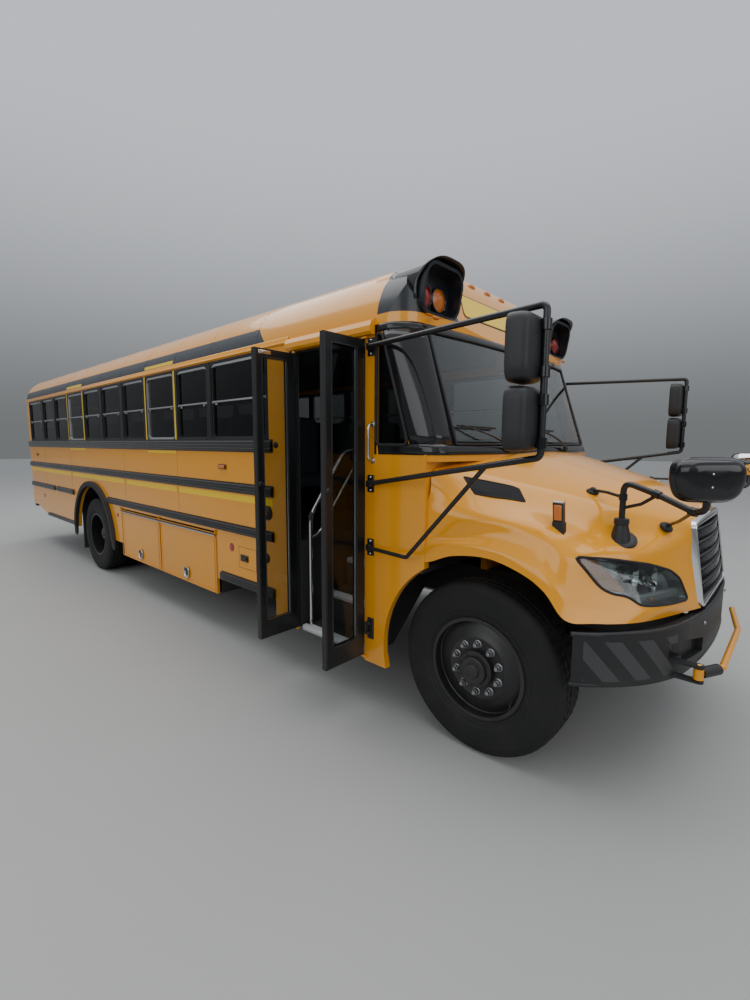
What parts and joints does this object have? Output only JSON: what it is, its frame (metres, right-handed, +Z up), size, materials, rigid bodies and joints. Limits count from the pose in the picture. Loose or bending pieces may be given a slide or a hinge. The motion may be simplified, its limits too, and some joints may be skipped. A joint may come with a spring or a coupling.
{
  "type": "school bus",
  "caption": "Yellow full-size school bus with a tilting hood, steered front wheels, folding entrance door, luggage hatches, stop arm and crossing arm.",
  "frame": {"origin": "on the ground, in the middle of the bus's length and width", "axes": "+X forward along the bus, +Y to its left, +Z up"},
  "size_m": [10.6258, 3.24, 3.1399],
  "materials": {
    "bus_yellow": "gloss",
    "black_paint": "semi-gloss",
    "chassis_black": "matte",
    "steel": "brushed",
    "aluminium_sash": "satin",
    "glass": "clear",
    "tire_rubber": "matte",
    "rubber": "matte",
    "seat_vinyl": "grained",
    "dark_plastic": "grained",
    "lamp_plastic": "clear moulded",
    "stop_red": "reflective",
    "floor_mat": "ribbed"
  },
  "bodies": {
    "root": {"side_wall_left": "bus_yellow", "side_wall_right": "bus_yellow", "roof": "bus_yellow", "cowl": "bus_yellow", "front_cap": "bus_yellow", "rear_wall": "bus_yellow", "windshield": "glass", "window_glass": "glass", "window_frames": "aluminium_sash", "rub_rails": "black_paint", "wheel_flares": "rubber", "floor": "floor_mat", "entrance_steps": "floor_mat", "luggage_bays": "chassis_black", "chassis_frame": "chassis_black", "leaf_springs": "chassis_black", "front_axle": "chassis_black", "rear_axle": "chassis_black", "drive_line": "steel", "fuel_tank": "chassis_black", "engine_block": "chassis_black", "front_bumper": "black_paint", "rear_bumper": "black_paint", "mirror_arms": "black_paint", "mirror_heads": "dark_plastic", "seats": "seat_vinyl", "dashboard": "dark_plastic", "lamps": "lamp_plastic", "roof_hatches": "dark_plastic"},
    "knuckle_left_body": {"knuckle_left": "chassis_black"},
    "knuckle_right_body": {"knuckle_right": "chassis_black"},
    "wheel_front_left": {"rim_front_left": "black_paint", "tire_front_left": "tire_rubber"},
    "wheel_front_right": {"rim_front_right": "black_paint", "tire_front_right": "tire_rubber"},
    "wheel_rear_left": {"rims_rear_left": "black_paint", "tires_rear_left": "tire_rubber"},
    "wheel_rear_right": {"rims_rear_right": "black_paint", "tires_rear_right": "tire_rubber"},
    "hood_body": {"hood": "bus_yellow", "grille": "black_paint", "headlamps": "glass", "hood_mirrors": "dark_plastic"},
    "hatch_left_front_body": {"hatch_left_front": "bus_yellow"},
    "hatch_left_rear_body": {"hatch_left_rear": "bus_yellow"},
    "hatch_right_front_body": {"hatch_right_front": "bus_yellow"},
    "hatch_right_rear_body": {"hatch_right_rear": "bus_yellow"},
    "door_front_body": {"door_leaf_front": "black_paint", "door_glass_front": "glass"},
    "door_rear_body": {"door_leaf_rear": "black_paint", "door_glass_rear": "glass"},
    "rear_door_body": {"rear_door": "bus_yellow", "rear_door_glass": "glass"},
    "stop_arm_body": {"stop_arm": "stop_red"},
    "crossing_arm_body": {"crossing_arm": "bus_yellow"},
    "steering_wheel_body": {"steering_wheel": "dark_plastic"}
  },
  "joints": [
    {"name": "steer_left", "type": "hinge", "parent": "root", "child": "knuckle_left_body", "pos_m": [4.158, 0.8, 0.512], "axis": [0, 0, 1], "range_deg": [-40, 40]},
    {"name": "steer_right", "type": "hinge", "parent": "root", "child": "knuckle_right_body", "pos_m": [4.158, -0.8, 0.512], "axis": [0, 0, 1], "range_deg": [-40, 40]},
    {"name": "roll_front_left", "type": "hinge", "parent": "knuckle_left_body", "child": "wheel_front_left", "pos_m": [4.158, 0.99, 0.512], "axis": [0, 1, 0], "continuous": true},
    {"name": "roll_front_right", "type": "hinge", "parent": "knuckle_right_body", "child": "wheel_front_right", "pos_m": [4.158, -0.99, 0.512], "axis": [0, 1, 0], "continuous": true},
    {"name": "roll_rear_left", "type": "hinge", "parent": "root", "child": "wheel_rear_left", "pos_m": [-1.913, 0.9, 0.512], "axis": [0, 1, 0], "continuous": true},
    {"name": "roll_rear_right", "type": "hinge", "parent": "root", "child": "wheel_rear_right", "pos_m": [-1.913, -0.9, 0.512], "axis": [0, 1, 0], "continuous": true},
    {"name": "hood_tilt", "type": "hinge", "parent": "root", "child": "hood_body", "pos_m": [5.118, 0, 0.93], "axis": [0, 1, 0], "range_deg": [0, 75]},
    {"name": "door_front_swing", "type": "hinge", "parent": "root", "child": "door_front_body", "pos_m": [3.363, -1.225, 1.4], "axis": [0, 0, 1], "range_deg": [-90, 0]},
    {"name": "door_rear_swing", "type": "hinge", "parent": "root", "child": "door_rear_body", "pos_m": [2.663, -1.225, 1.4], "axis": [0, 0, 1], "range_deg": [0, 90]},
    {"name": "rear_door_swing", "type": "hinge", "parent": "root", "child": "rear_door_body", "pos_m": [-5.242, -0.478, 1.78], "axis": [0, 0, 1], "range_deg": [0, 110]},
    {"name": "hatch_right_front_lift", "type": "hinge", "parent": "root", "child": "hatch_right_front_body", "pos_m": [0.848, -1.229, 0.968], "axis": [1, 0, 0], "range_deg": [-90, 0]},
    {"name": "hatch_right_rear_lift", "type": "hinge", "parent": "root", "child": "hatch_right_rear_body", "pos_m": [-0.309, -1.229, 0.968], "axis": [1, 0, 0], "range_deg": [-90, 0]},
    {"name": "hatch_left_front_lift", "type": "hinge", "parent": "root", "child": "hatch_left_front_body", "pos_m": [0.848, 1.229, 0.968], "axis": [1, 0, 0], "range_deg": [0, 90]},
    {"name": "hatch_left_rear_lift", "type": "hinge", "parent": "root", "child": "hatch_left_rear_body", "pos_m": [-0.309, 1.229, 0.968], "axis": [1, 0, 0], "range_deg": [0, 90]},
    {"name": "stop_arm_swing", "type": "hinge", "parent": "root", "child": "stop_arm_body", "pos_m": [2.943, 1.24, 1.54], "axis": [0, 0, 1], "range_deg": [-90, 0]},
    {"name": "crossing_arm_swing", "type": "hinge", "parent": "root", "child": "crossing_arm_body", "pos_m": [5.173, -0.76, 0.7], "axis": [0, 0, 1], "range_deg": [-90, 0]},
    {"name": "steering_wheel_turn", "type": "hinge", "parent": "root", "child": "steering_wheel_body", "pos_m": [3.358, 0.55, 1.79], "axis": [-0.5736, 0, 0.8192], "range_deg": [-720, 720]}
  ],
  "couplings": [
    {"joint": "steer_right", "follows": "steer_left", "ratio": 1},
    {"joint": "steering_wheel_turn", "follows": "steer_left", "ratio": 18},
    {"joint": "door_rear_swing", "follows": "door_front_swing", "ratio": -1}
  ]
}
